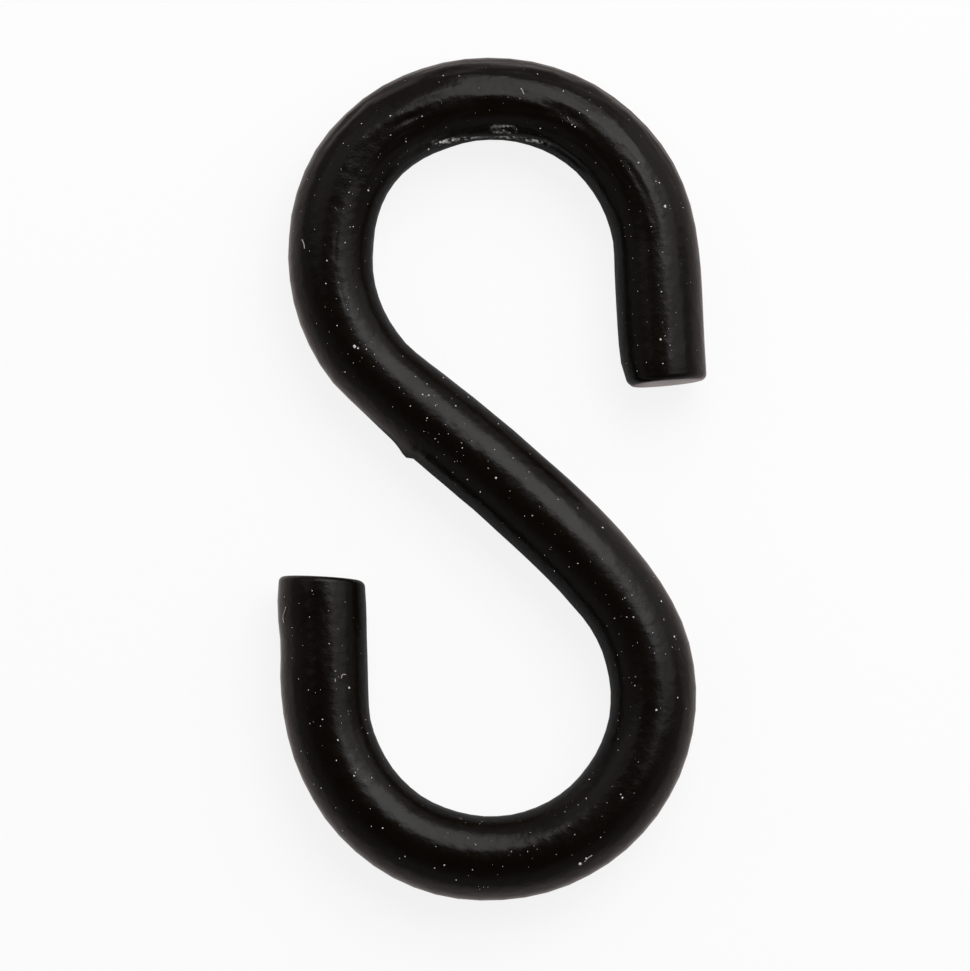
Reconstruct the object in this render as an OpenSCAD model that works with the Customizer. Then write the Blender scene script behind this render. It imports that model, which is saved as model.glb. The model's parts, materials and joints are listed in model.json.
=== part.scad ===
// S hook, bent cold from one length of round steel wire and then coated.
// It lies flat: +Z is up, +Y runs along its length, and the wire's centreline
// is in one level plane. Two arms leave the straight shank. Each bends
// clockwise as it goes, so the inside of every bend is on its right.
// The origin is under the middle of the hook, on the surface it lies on.

/* [Wire] */
// Diameter of the coated wire along the shank
wire_d = 5.12; // [4.2:0.02:6.2]
// How much thinner the wire is in the heel, the bend next to the shank
heel_thin = 0.22; // [0.06:0.01:0.4]
// How much thinner the wire is in the back of the upper crook
back_thin = 0.15; // [0.06:0.01:0.4]
// How much thinner the wire is over the crown of the upper crook
crown_thin = 0.26; // [0.06:0.01:0.4]
// How much thinner the wire is in the easing bend below the shank
ease_thin = 0.04; // [0.04:0.01:0.4]
// How much thinner the wire is round the bowl of the lower crook
bowl_thin = 0.13; // [0.06:0.01:0.4]

/* [Shank] */
// Length of the straight shank between the two crooks
shank_len = 8.8; // [6:0.1:16]
// Lean of the shank away from the hook's length, in degrees
shank_lean = 50; // [44:0.5:56]
// How much thinner the wire is at its neck, where the shank leaves the heel
neck_thin = 0.38; // [0.3:0.01:0.6]
// Distance from the heel to the neck
neck_at = 0.4; // [0.2:0.05:1]
// Distance from the heel at which the wire is full size again
neck_end = 4.2; // [2:0.1:5]

/* [Upper crook] */
// Centreline radius of the heel
heel_r = 9.65; // [8.5:0.05:12]
// Turn of the heel, in degrees
heel_turn = 53.5; // [40:0.5:60]
// Centreline radius of the back
back_r = 8.25; // [7:0.05:10.5]
// Turn of the back, in degrees
back_turn = 66.5; // [55:0.5:75]
// Centreline radius of the crown
crown_r = 9.8; // [8:0.05:12]
// Turn of the crown, in degrees
crown_turn = 107; // [90:0.5:112]
// Length of the straight leg from the crown to the upper tip
upper_leg_len = 7.65; // [5.5:0.05:9.5]
// How much thinner the wire is along the upper leg
upper_leg_thin = 0.02; // [0:0.01:0.2]

/* [Lower crook] */
// Centreline radius of the easing bend
ease_r = 54; // [40:1:70]
// Turn of the easing bend, in degrees
ease_turn = 9; // [5:0.5:12]
// Centreline radius of the bowl
bowl_r = 9.7; // [8:0.05:12]
// Turn of the bowl, in degrees
bowl_turn = 218.5; // [200:0.5:224]
// Length of the straight leg from the bowl to the lower tip
lower_leg_len = 7.3; // [5.5:0.05:9.5]
// How much thicker the coat makes the lower leg
lower_leg_swell = 0.1; // [0:0.01:0.2]

/* [Blends] */
// Length of the straight taper between one bend and the next
blend_len = 0.8; // [0.4:0.1:2]
// Length of the taper from a bend up to the full size of a leg
leg_taper_len = 1.8; // [0.5:0.1:2.4]

/* [Sheared tips] */
// Slant of the upper end face, in degrees, its outer side being the shorter
upper_slant = 3.3; // [0:0.1:6]
// Slant of the lower end face, in degrees, its inner side being the shorter
lower_slant = 5.4; // [0:0.1:6]
// Radius of the die roll on the inner side of the upper tip
upper_roll_r = 6.3; // [4:0.1:10]
// Length of the die roll on the inner side of the upper tip
upper_roll_len = 2.6; // [1:0.1:3]
// Radius of the die roll on the inner side of the lower tip
lower_roll_r = 3; // [2:0.1:10]
// Length of the die roll on the inner side of the lower tip
lower_roll_len = 1.4; // [0.5:0.1:1.6]
// Radius of the coated rim round each end face
rim_r = 0.35; // [0.25:0.05:0.5]

/* [Marks] */
// How far the run in the coat stands proud, low on the side of the shank
run_proud = 0.19; // [0.1:0.01:0.3]
// Radius of the run's head
run_r = 0.35; // [0.3:0.05:0.8]
// Length of the tail that trails from the run's head
run_tail = 2; // [1:0.1:2.5]
// Distance of the run's head from the heel, along the shank
run_at = 3.7; // [2.7:0.1:4.5]
// Depth of the shallow dent on the outer side of the lower leg
dent_depth = 0.08; // [0.04:0.01:0.2]
// Radius of the tool that left the dent
dent_r = 8; // [4:0.5:15]
// Distance of the dent from the lower tip
dent_from_tip = 3.9; // [2.5:0.1:5]

/* [Hidden] */
$fn = 96;

wire_r = wire_d / 2;
heel_rad = wire_r - heel_thin / 2;
back_rad = wire_r - back_thin / 2;
crown_rad = wire_r - crown_thin / 2;
ease_rad = wire_r - ease_thin / 2;
bowl_rad = wire_r - bowl_thin / 2;
neck_rad = wire_r - neck_thin / 2;
upper_leg_rad = wire_r - upper_leg_thin / 2;
lower_leg_rad = wire_r + lower_leg_swell / 2;
widest_rad = max(wire_r, lower_leg_rad);

// Where a straight length meets a bend it is a hair thicker than the bend. From
// there it runs a little way into the bend and ends slimmer than it, so that
// the two surfaces cross along a clean circle.
rise = 0.004;
lap = 0.03;
sink = 0.01;

// A tip's nose sits this much to the outer side of the wire's centreline, so
// that its rim is rounder on the inner side, and widens behind the rim at this angle.
nose_offset = 0.125;
nose_flare = 20;

// A route is a list of steps away from the shank: [centreline radius, turn,
// wire radius] for a bend and [0, length, wire radius] for a straight.
upper_route = [
    [heel_r, heel_turn, heel_rad],
    [0, blend_len, heel_rad],
    [back_r, back_turn, back_rad],
    [0, blend_len, back_rad],
    [crown_r, crown_turn, crown_rad],
    [0, upper_leg_len, upper_leg_rad]
];
lower_route = [
    [ease_r, ease_turn, ease_rad],
    [0, blend_len, ease_rad],
    [bowl_r, bowl_turn, bowl_rad],
    [0, lower_leg_len, lower_leg_rad]
];

// A place is [x, y, heading] on the centreline. This is the place reached
// after part of a step, given as a share of it from 0 to 1.
function along(place, step, share) =
    step[0] == 0
    ? [
        place[0] + share * step[1] * cos(place[2]),
        place[1] + share * step[1] * sin(place[2]),
        place[2]
    ]
    : let (heading = place[2] - share * step[1])
    [
        place[0] + step[0] * (sin(place[2]) - sin(heading)),
        place[1] - step[0] * (cos(place[2]) - cos(heading)),
        heading
    ];

// Place at which step number n of a route starts
function start_of(route, place, n) =
    n == 0 ? place : along(start_of(route, place, n - 1), route[n - 1], 1);

// The shank's upper end is at [0, 0], and an arm leaves from each of its ends
upper_start = [0, 0, 90 + shank_lean];
lower_start = [shank_len * sin(shank_lean), -shank_len * cos(shank_lean), shank_lean - 90];

// Furthest reach of an arm's wire on one axis (0 is x, 1 is y), towards + or -
function reach(route, place, axis, side) = max([
    for (n = [0 : len(route) - 1], share = [0 : 1 / 240 : 1])
        side * along(start_of(route, place, n), route[n], share)[axis] + route[n][2]
]);
function middle(axis) = (
    max(reach(upper_route, upper_start, axis, 1), reach(lower_route, lower_start, axis, 1))
    - max(reach(upper_route, upper_start, axis, -1), reach(lower_route, lower_start, axis, -1))
) / 2;

// Wire along a straight step, turned about its own axis. Each pair of numbers
// is a distance along the step and the wire's radius there.
module turned(profile) {
    rotate([0, 90, 0])
        rotate_extrude()
            polygon(concat(
                [[0, profile[0][0]]],
                [for (p = profile) [p[1], p[0]]],
                [[0, profile[len(profile) - 1][0]]]
            ));
}

// Profile of a straight length where it leaves one bend, and where it enters
// the next, for a bend of the given wire radius
function leaving(bend_rad) = [[-lap, bend_rad - sink], [0, bend_rad + rise]];
function entering(bend_rad, at) = [[at, bend_rad + rise], [at + lap, bend_rad - sink]];

// Wire round a bend that starts at the origin, heads along +X and turns right
module bend(step) {
    translate([0, -step[0], 0])
        rotate([0, 0, 90 - step[1]])
            rotate_extrude(angle = step[1])
                translate([step[0], 0])
                    circle(r = step[2]);
}

// Short taper from the bend before to the bend after
module blend(length, before_rad, after_rad) {
    turned(concat(leaving(before_rad), entering(after_rad, length)));
}

// Form of a sheared and coated end: a flat face at x = 0 with a rounded rim
// that flares into a cone, wide enough to hold the whole leg behind it
module nose(rad, length) {
    face_rad = rad - rim_r;
    rim_end = [face_rad + rim_r * cos(nose_flare), rim_r * (sin(nose_flare) - 1)];
    rotate([0, 90, 0])
        rotate_extrude() {
            polygon([
                [0, 0],
                [face_rad, 0],
                [face_rad, -rim_r],
                rim_end,
                [rim_end[0] + (length + rim_end[1]) * tan(nose_flare), -length],
                [0, -length]
            ]);
            translate([face_rad, -rim_r]) circle(r = rim_r);
        }
}

// What the shear's die rolls off the inner side of a leg of the given wire
// radius. The roll starts at x = 0, a hair outside the wire, and runs along +X.
module die_roll(rad, roll_r, roll_len) {
    start_clear = 0.005;
    difference() {
        translate([0, -2 * rad, -2 * rad]) cube([2 * roll_len, 3 * rad, 4 * rad]);
        translate([0, roll_r - rad - start_clear, 0])
            cylinder(r = roll_r, h = 6 * rad, center = true);
    }
}

// Straight leg to a sheared tip, for the last step of a route
module leg(step, bend_rad, slant, roll_r, roll_len) {
    length = step[1];
    rad = step[2];
    difference() {
        intersection() {
            turned(concat(leaving(bend_rad), [[leg_taper_len, rad], [length + rad, rad]]));
            translate([length, nose_offset, 0])
                rotate([0, 0, slant])
                    nose(rad - nose_offset, length + rad);
        }
        translate([length - roll_len, 0, 0]) die_roll(rad, roll_r, roll_len);
    }
}

// Straight shank, necked where it leaves the heel
module shank() {
    turned(concat(
        leaving(heel_rad),
        [[neck_at, neck_rad], [neck_end, wire_r], [shank_len - blend_len, wire_r]],
        entering(ease_rad, shank_len)
    ));
}

// Run in the coat: a round head with a slim tail, low on the shank's side
module coat_run() {
    translate([run_at, run_r - run_proud - wire_r, 0]) {
        sphere(r = run_r);
        rotate([0, -90, 0]) cylinder(h = run_tail, r1 = 0.95 * run_r, r2 = 0);
    }
}

// Tool that dented the outer side of the lower leg, for a leg that starts at x = 0
module dent() {
    translate([lower_leg_len - dent_from_tip, lower_leg_rad + dent_r - dent_depth, 0])
        cylinder(r = dent_r, h = 4 * wire_r, center = true);
}

// Moves what heads along +X at the origin to the start of step n of a route
module at_step(route, place, n) {
    p = start_of(route, place, n);
    translate([p[0], p[1], 0]) rotate([0, 0, p[2]]) children();
}

// Bends and blends of an arm: every step but the last, which is its leg
module bends(route, place) {
    for (n = [0 : len(route) - 2])
        at_step(route, place, n)
            if (route[n][0] > 0) bend(route[n]);
            else blend(route[n][1], route[n - 1][2], route[n + 1][2]);
}

module upper_arm() {
    last = len(upper_route) - 1;
    bends(upper_route, upper_start);
    at_step(upper_route, upper_start, last)
        leg(upper_route[last], crown_rad, upper_slant, upper_roll_r, upper_roll_len);
}

module lower_arm() {
    last = len(lower_route) - 1;
    bends(lower_route, lower_start);
    at_step(lower_route, lower_start, last)
        difference() {
            leg(lower_route[last], bowl_rad, -lower_slant, lower_roll_r, lower_roll_len);
            dent();
        }
}

module hook() {
    color([0.07, 0.065, 0.06])
        translate([-middle(0), -middle(1), widest_rad]) {
            rotate([0, 0, lower_start[2]]) {
                shank();
                coat_run();
            }
            upper_arm();
            lower_arm();
        }
}

hook();
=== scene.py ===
"""Black coated S hook: a straight wire is cut, coated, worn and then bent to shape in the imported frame."""

import json
import math
import random

import bpy
import numpy as np
from mathutils import Matrix, Vector


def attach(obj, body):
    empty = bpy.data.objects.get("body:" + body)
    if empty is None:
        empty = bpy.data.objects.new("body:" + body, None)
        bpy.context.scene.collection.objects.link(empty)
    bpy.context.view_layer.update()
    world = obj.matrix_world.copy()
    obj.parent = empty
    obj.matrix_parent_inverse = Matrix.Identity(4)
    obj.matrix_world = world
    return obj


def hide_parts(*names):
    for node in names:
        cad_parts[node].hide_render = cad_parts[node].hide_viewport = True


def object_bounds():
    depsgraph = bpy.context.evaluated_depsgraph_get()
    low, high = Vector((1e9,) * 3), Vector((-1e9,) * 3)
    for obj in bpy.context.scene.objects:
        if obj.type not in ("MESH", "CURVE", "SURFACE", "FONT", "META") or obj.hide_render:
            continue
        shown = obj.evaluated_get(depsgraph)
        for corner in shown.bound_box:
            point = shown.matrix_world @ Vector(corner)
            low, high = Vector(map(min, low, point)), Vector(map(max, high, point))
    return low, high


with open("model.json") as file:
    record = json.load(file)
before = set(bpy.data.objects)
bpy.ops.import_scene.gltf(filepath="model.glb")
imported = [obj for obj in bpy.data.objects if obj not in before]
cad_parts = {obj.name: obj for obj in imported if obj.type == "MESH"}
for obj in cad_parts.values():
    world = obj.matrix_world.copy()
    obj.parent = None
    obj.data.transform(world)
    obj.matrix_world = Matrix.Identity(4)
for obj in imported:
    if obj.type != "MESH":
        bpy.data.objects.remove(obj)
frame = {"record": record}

bl_info = {
    "name": "S Hook",
    "version": (1, 0, 0),
    "blender": (4, 5, 0),
    "location": "View3D > Sidebar > S Hook",
    "description": "A bent wire hook with a black coat, dust and lint, and a plain studio stage",
    "category": "Object",
}

MM = 0.001
WHITE = (1.0, 1.0, 1.0, 1.0)
CAD_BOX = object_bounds()
CAD_NODE = "hook"
BODY = "root"
CENTRE_HEIGHT = (CAD_BOX[0].z + CAD_BOX[1].z) / 2
HEADROOM = (CAD_BOX[1].z - CAD_BOX[0].z) / 2


# ---------------------------------------------------------------- sizes and colours


def length(name, description, millimetres):
    """A length property whose default is given in millimetres."""
    return bpy.props.FloatProperty(
        name=name, description=description, default=millimetres * MM, min=0, unit="LENGTH", precision=5
    )


def angle(name, description, degrees):
    """An angle property whose default is given in degrees."""
    return bpy.props.FloatProperty(
        name=name, description=description, default=math.radians(degrees), unit="ROTATION"
    )


def amount(name, description, default, most=1.0):
    """A plain number between nought and its most."""
    return bpy.props.FloatProperty(
        name=name, description=description, default=default, min=0, max=most, precision=4
    )


def colour(name, description, default):
    """A colour property."""
    return bpy.props.FloatVectorProperty(
        name=name, description=description, default=default, size=3, min=0, max=1, subtype="COLOR"
    )


class HookRoute(bpy.types.PropertyGroup):
    """The middle line of the bent wire, from the upper tip to the lower tip"""

    tip_reach: length("Tip reach", "Upper tip's end beyond the middle of the upper tip's mount", 3.44)
    upper_leg: length("Upper leg", "Straight part before the crown", 7.67)
    crown_radius: length("Crown radius", "Bend over the top of the upper crook", 9.8)
    crown_turn: angle("Crown turn", "Angle of the crown's bend", 107)
    back_radius: length("Back radius", "Bend down the back of the upper crook", 8.25)
    back_turn: angle("Back turn", "Angle of the back's bend", 66.5)
    heel_radius: length("Heel radius", "Bend from the back into the shank", 9.65)
    heel_turn: angle("Heel turn", "Angle of the heel's bend", 53.5)
    shank: length("Shank", "Straight middle part", 8.8)
    ease_radius: length("Ease radius", "Slack bend from the shank towards the bowl", 54)
    ease_turn: angle("Ease turn", "Angle of the slack bend", 9)
    bowl_radius: length("Bowl radius", "Bend of the lower crook", 9.7)
    bowl_turn: angle("Bowl turn", "Angle of the lower crook's bend", 218.5)
    lower_leg: length("Lower leg", "Straight part after the bowl", 7.33)
    blend: length("Blend", "Short straight part between two bends", 0.8)


class WireShape(bpy.types.PropertyGroup):
    """The cut wire and the marks that cutting and coating left on it"""

    stock_radius: length("Stock radius", "Coated wire as cut, before it is drawn thinner by bending", 2.56)
    rim: length("Rim", "Rounding of the edges of both end faces", 0.34)
    upper_slant: angle("Upper slant", "Slant of the upper tip's end face, its inner side the longer", 2.0)
    upper_dome: length("Upper dome", "How far the upper end face bulges in the middle", 0.075)
    lower_slant: angle("Lower slant", "Slant of the lower tip's end face, its outer side the longer", 5.4)
    upper_roll: length("Upper roll", "Depth that the shears rolled the upper tip's inner edge", 0.46)
    upper_roll_reach: length("Upper roll reach", "How far the upper roll fades along the wire", 0.81)
    lower_roll: length("Lower roll", "Depth that the shears rolled the lower tip's inner edge", 0.1)
    lower_roll_reach: length("Lower roll reach", "How far the lower roll fades along the wire", 0.35)
    lower_lead: length("Lower lead", "How much the lower tip's outer side narrows to its end", 0.14)
    lower_lead_reach: length("Lower lead reach", "How far back the lower tip's outer side narrows", 1.45)
    run_height: length("Run height", "How proud the coat's hardened run stands", 0.24)
    lump_size: length("Lump size", "Width of the coat's soft lumps", 0.6)
    lump_depth: length("Lump depth", "Unevenness of the coat over the crown", 0.24)
    blister_size: length("Blister size", "Width of the crust's blisters", 0.17)
    blister_depth: length("Blister depth", "Height of the crust inside the crown", 0.09)


class CoatFinish(bpy.types.PropertyGroup):
    """The black coat"""

    black: colour("Black", "Colour of the coat", (0.0027, 0.0013, 0.0002))
    roughness: amount("Roughness", "Roughness of the satin coat", 0.26)
    gloss_spread: amount("Gloss spread", "How far patches of the coat are rougher or smoother", 0.03)
    gloss_patch: length("Gloss patch", "Size of the patches that are rougher or smoother", 2.2)
    sheen: amount("Sheen", "Strength of the coat's reflection", 0.185)
    # The crust's colour, blob size and blob share make painted glints: pale spots standing for light caught
    # by the blistered coat.
    crust: colour("Crust", "Colour of the blistered crust", (0.95, 0.93, 0.9))
    glint_blob: length("Crust blob", "Size of the crust's pale blobs", 0.19)
    glint_share: amount("Crust share", "Share of the blobs that show, the rest being dark", 0.85)
    crust_roughness: amount("Crust roughness", "Roughness of the crust", 0.7)
    peel_size: length("Peel size", "Size of the coat's fine ripples", 0.14)
    peel_depth: length("Peel depth", "Depth of the coat's fine ripples", 0.01)
    swell: amount("Swell", "Height of the coat's broad ripples beside the fine ones", 3.5, 20.0)
    film: amount("Film", "How much fine dust dulls the coat", 0.5)
    film_tint: colour("Film tint", "Colour of the fine dust that dulls the coat", (0.35, 0.34, 0.32))
    film_spacing: length("Film spacing", "Distance between the dots of the fine dust", 0.34)
    film_dot: amount("Film dot", "Radius of the largest dot as a share of the spacing", 0.2)


class DustFinish(bpy.types.PropertyGroup):
    """Dust grains and lint that cling to the coat"""

    grain: colour("Grain", "Colour of the dust grains", (0.82, 0.80, 0.77))
    lint: colour("Lint", "Colour of the lint", (0.50, 0.46, 0.41))
    fine_grains: bpy.props.IntProperty(
        name="Fine grains", description="Number of fine grains all over the hook", default=340, min=0
    )
    finest: length("Finest grain", "Smallest fine grain", 0.03)
    coarsest: length("Coarsest grain", "Largest fine grain", 0.08)
    lint_thickness: length("Lint thickness", "Thickness of a lint fibre", 0.05)
    seed: bpy.props.IntProperty(
        name="Seed",
        description="Seed of the crumbs' shapes and turns and of the fine grains' places",
        default=7,
        min=0,
    )


class StageSetup(bpy.types.PropertyGroup):
    """Floor, lamps and camera"""

    floor: colour("Floor", "Colour of the floor as it lights the hook", (0.41, 0.41, 0.42))
    floor_whiteness: amount("Floor whiteness", "How far the camera sees the floor as plain white", 0.86)
    floor_gleam: amount("Floor gleam", "How far the floor around the hook gleams in the coat", 0.7)
    gleam: colour("Gleam", "Colour of the floor's gleam in the coat", (1.0, 0.89, 0.86))
    key_radiance: amount("Key lamp", "Brightness of the large lamp at the top right", 3.2, 100.0)
    key_size: length("Key size", "Side of the square key lamp", 325)
    side_radiance: amount("Side lamp", "Brightness of the lamp at the right", 1.34, 100.0)
    side_size: length("Side size", "Side of the square side lamp", 305)
    low_radiance: amount("Low lamp", "Brightness of the low lamp at the right", 0.6, 100.0)
    low_size: length("Low size", "Side of the square low lamp", 255)
    fill_radiance: amount("Fill lamp", "Brightness of the lamp at the upper left", 0.6, 100.0)
    fill_size: length("Fill size", "Side of the square fill lamp", 290)
    lamp_distance: length("Lamp distance", "Distance of all four lamps", 400)
    zenith: amount("Zenith", "Brightness of the room straight above", 0.055)
    horizon: amount("Horizon", "Brightness of the room near the floor", 0.35)
    camera_distance: length("Camera distance", "Distance of the camera", 900)
    camera_elevation: angle("Camera elevation", "Height of the camera above the horizon", 86.0)
    field: length("Field", "Width of floor that the camera takes in", 57.55)


# ---------------------------------------------------------------- the wire's own measures
# A place is measured along the wire from the upper tip. A side is measured from its middle line, to the
# left of the way from the upper tip to the lower one. Both are in millimetres. An angle is measured round
# the wire in degrees: 0 on its left, 90 on top and 180 on its right.

# Where the wire is drawn thinner by its bends, necked after the heel and swollen by its coat: place,
# radius and wander to the side.
GAUGE = (
    # Upper leg
    (0.8, 2.55, 0.0),
    (2.4, 2.56, 0.02),
    (4.2, 2.57, 0.01),
    (6.4, 2.58, 0.01),
    # Crown
    (8.3, 2.5, 0.03),
    (12.2, 2.5, -0.01),
    (15.5, 2.44, -0.02),
    (22.5, 2.43, 0.01),
    (26.0, 2.49, -0.03),
    # Back
    (28.2, 2.49, 0.0),
    (30.2, 2.46, 0.02),
    (32.0, 2.49, -0.01),
    (34.5, 2.53, 0.02),
    # Heel and neck
    (37.5, 2.51, -0.01),
    (40.0, 2.48, 0.0),
    (44.2, 2.43, 0.01),
    (45.6, 2.35, 0.04),
    # Shank
    (46.8, 2.4, 0.02),
    (48.3, 2.48, 0.0),
    (50.5, 2.55, 0.0),
    (54.0, 2.57, 0.01),
    (55.5, 2.55, -0.03),
    # Ease
    (57.5, 2.58, -0.04),
    (62.0, 2.56, 0.03),
    # Bowl
    (65.6, 2.49, -0.05),
    (69.2, 2.55, -0.02),
    (73.0, 2.52, 0.02),
    (77.0, 2.53, 0.01),
    (81.5, 2.5, 0.02),
    (86.0, 2.49, -0.01),
    (89.2, 2.55, 0.02),
    (92.2, 2.51, 0.03),
    (97.0, 2.49, -0.03),
    (99.6, 2.5, 0.0),
    # Lower leg, with its bulges and dent
    (102.5, 2.61, 0.06),
    (104.6, 2.56, -0.03),
    (106.4, 2.64, 0.01),
    (108.5, 2.63, 0.0),
)
GAUGE_SMOOTHING = 1.2
GAUGE_STEP = 0.05
TALLEST_RADIUS = 2.59

# Both sheared ends: how far a slant holds its full depth, how far it fades beyond that, and how closely a
# rolled edge keeps to its own side.
SLANT_HOLD = 0.8
SLANT_FADE = 3.0
ROLL_FOCUS = 1.5

# Hardened run of coat on the outer side after the heel: the place of its peak, how far it swells before
# the peak and how soon it ends after, its angle and spread, and the area round it whose faces are cut
# finer.
RUN_PLACE = 49.77
RUN_BEFORE = 0.7
RUN_AFTER = 0.32
RUN_ANGLE = 186.0
RUN_SPREAD = 24.0
RUN_AREA_BEFORE = 1.2
RUN_AREA_AFTER = 0.5
RUN_AREA_ANGLE = 50.0

# A pit's finer faces and its raised lip, both in the pit's radii, and the lip's height as a share of its
# depth.
PIT_AREA = 2.5
PIT_LIP_RADIUS = 1.5
PIT_LIP_SHARPNESS = 4
PIT_LIP_HEIGHT = 0.3
# Small pits: place, side, radius, depth.
PITS = (
    (27.5, 0.2, 0.16, 0.05),
    (28.6, 0.9, 0.13, 0.04),
    (32.1, -0.9, 0.12, 0.03),
    (37.2, 0.3, 0.12, 0.03),
    (38.5, 0.4, 0.14, 0.04),
    (40.3, 0.4, 0.12, 0.03),
    (52.3, 0.9, 0.1, 0.04),
)

# The coat gathered in soft lumps over the crown, and in weaker ones along the whole wire but for its
# ends. An area's soft length and soft angle are the widths over which it fades outside its bounds.
LUMPS = {
    "start": 12.0,
    "end": 31.0,
    "from_angle": 30.0,
    "to_angle": 150.0,
    "soft_length": 3.0,
    "soft_angle": 30.0,
}
OTHER_LUMPS = {"strength": 0.15, "margin": 1.5, "soft_length": 1.0}

# It blistered to a crust along the crown's inner side, its pale blobs being painted glints: the crust's
# bounds, the place of its middle, its angle there, how it climbs away from there, and its half width as an
# angle.
# Beside it is a patch of fine bubbles.
CRUST = {
    "start": 18.9,
    "end": 26.5,
    "middle": 22.3,
    "angle": 15.0,
    "climb": 1.0,
    "half_width": 3.0,
    "soft_length": 0.6,
    "soft_angle": 3.0,
}
BUBBLES = {
    "start": 21.1,
    "end": 22.3,
    "from_angle": 30.0,
    "to_angle": 43.0,
    "soft_length": 0.3,
    "soft_angle": 4.0,
}
BUBBLE_STRENGTH = 0.7

# Plainest dust grains: place, side, size.
GRAINS = (
    (43.4, -0.2, 0.19),
    (43.6, -0.1, 0.11),
    (81.7, 1.7, 0.18),
    (81.3, 1.6, 0.11),
    (10.1, -0.9, 0.15),
    (2.4, 0.1, 0.13),
    (72.2, 0.2, 0.12),
    (54.8, -0.4, 0.12),
    (77.7, 0.3, 0.11),
    (77.6, 0.1, 0.08),
    (33.1, 1.5, 0.11),
    (101.9, -1.4, 0.12),
    (61.3, 1.8, 0.1),
    (66.4, 1.8, 0.1),
    (98.7, -0.3, 0.1),
    (48.6, 0.8, 0.1),
    (48.3, 0.6, 0.09),
    (68.3, 1.7, 0.1),
    (66.5, -0.1, 0.09),
    (96.3, -0.3, 0.1),
    (78.1, -1.9, 0.1),
    (12.9, -0.6, 0.09),
    (17.1, 0.5, 0.09),
    (61.2, -2.0, 0.08),
    (11.4, -1.1, 0.08),
    (92.9, 0.5, 0.09),
    (54.6, -1.6, 0.08),
    (39.4, -0.4, 0.08),
    (49.4, -0.3, 0.08),
    (38.1, -0.2, 0.08),
    (100.1, 0.3, 0.08),
    (97.6, 0.2, 0.08),
    (98.6, -2.1, 0.08),
    (20.9, -0.5, 0.07),
    (17.0, -0.7, 0.07),
    (95.6, -1.1, 0.07),
    (27.4, 2.2, 0.14),
)

# Lint fibres: (place, side) points along each, and how far each one's middle lies off the coat.
LINT = (
    ((36.9, -1.7), (37.0, -1.62), (37.2, -1.53), (37.4, -1.52)),
    ((102.45, -0.97), (102.65, -1.0), (102.73, -1.05), (102.67, -1.24)),
    ((106.85, 2.1), (106.55, 2.22), (106.35, 2.3), (106.15, 2.3), (105.95, 2.25)),
    ((81.45, 1.72), (81.25, 1.62), (81.1, 1.62), (80.95, 1.62)),
    ((102.45, -0.61), (102.25, -0.62)),
    ((20.9, -0.5), (20.8, -0.38), (20.7, -0.2)),
)
LINT_LIFT = 0.03

# Fine grains: the angles that they lie between with the commonest one last, the bare length at each end
# of the wire, and how strongly small ones outnumber large ones.
FINE_ANGLES = (14.0, 166.0, 90.0)
FINE_MARGIN = 0.5
FINE_BIAS = 2.5

# A crumb: how many kinds there are, how far each is broken out of round, its length, width and height as
# shares of its size, how high its middle sits as a share of its size, and the room kept under the top of
# the CAD box.
CRUMB_KINDS = 4
CRUMB_BREAK = 0.13 * MM
CRUMB_FORM = (1.1, 0.9, 0.6)
CRUMB_LIFT = 0.25
TOP_ROOM_PER_LIFT = 1.2
TOP_ROOM = 0.005

# Dust and lint: the darkest shade of their colour, and how much finer and flatter their grit is than
# their patches.
FLUFF_DARKEST = 0.4
GRIT_FINENESS = 3
GRIT_FLATNESS = 20

# The wire's mesh: faces round it, distance between its rings, steps of each rounded rim, rings of each
# end face, the distances within which edges lie in one ring and faces lie flush with the end, and what
# the end faces' middle points are divided by in place of nought.
SIDES = 116
RING_SPACING = 0.16
RIM_STEPS = 6
CAP_RINGS = 5
SAME_RING = 0.01
FLUSH = 0.001
LEAST_DIVISOR = 0.01
ROUTE_STEP = 0.1 * MM

# The least weight that moves a vertex, and the least share of crust whose faces are cut finer.
LEAST_WEIGHT = 1e-4
LEAST_CRUST = 0.01


# ---------------------------------------------------------------- the stage's own measures
# Which way each lamp lies from the hook.
LAMPS = {
    "key": (0.23, 0.59, 0.78),
    "side": (0.57, 0.26, 0.78),
    "low": (0.8, 0.54, 0.28),
    "fill": (-0.57, 0.44, 0.69),
}
# How steeply a way points up where the room starts to darken and where it is darkest.
ROOM_DARKENS = 0.3
ROOM_DARKEST = 0.85
# How far inside the hook's long round outline the floor's gleam starts and is full.
GLEAM_STARTS = 6 * MM
GLEAM_FULL = 3 * MM
# The floor's side and the nearest and farthest that the camera sees, all in metres, the point that it looks
# at, and its sensor's width in millimetres.
FLOOR_SIZE = 6.0
CAMERA_TARGET = (-0.420 * MM, -0.416 * MM, CENTRE_HEIGHT)
SENSOR_WIDTH = 36.0
NEAREST_SEEN = 0.01
FARTHEST_SEEN = 20.0


# ---------------------------------------------------------------- the route


def upper_tip_mount():
    """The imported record's mount at the upper tip."""
    return next(mount for mount in frame["record"]["mounts"] if mount["name"] == "upper_tip")


def stretches(route):
    """Length and turn of each stretch of the wire in order, with left turns positive."""

    def bend(radius, turn):
        return (radius * abs(turn), turn)

    return (
        (route.upper_leg, 0.0),
        bend(route.crown_radius, route.crown_turn),
        (route.blend, 0.0),
        bend(route.back_radius, route.back_turn),
        (route.blend, 0.0),
        bend(route.heel_radius, route.heel_turn),
        (route.shank, 0.0),
        bend(route.ease_radius, -route.ease_turn),
        (route.blend, 0.0),
        bend(route.bowl_radius, -route.bowl_turn),
        (route.lower_leg, 0.0),
    )


def wire_length(route):
    """Length of the middle line."""
    return sum(stretch for stretch, _ in stretches(route))


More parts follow.
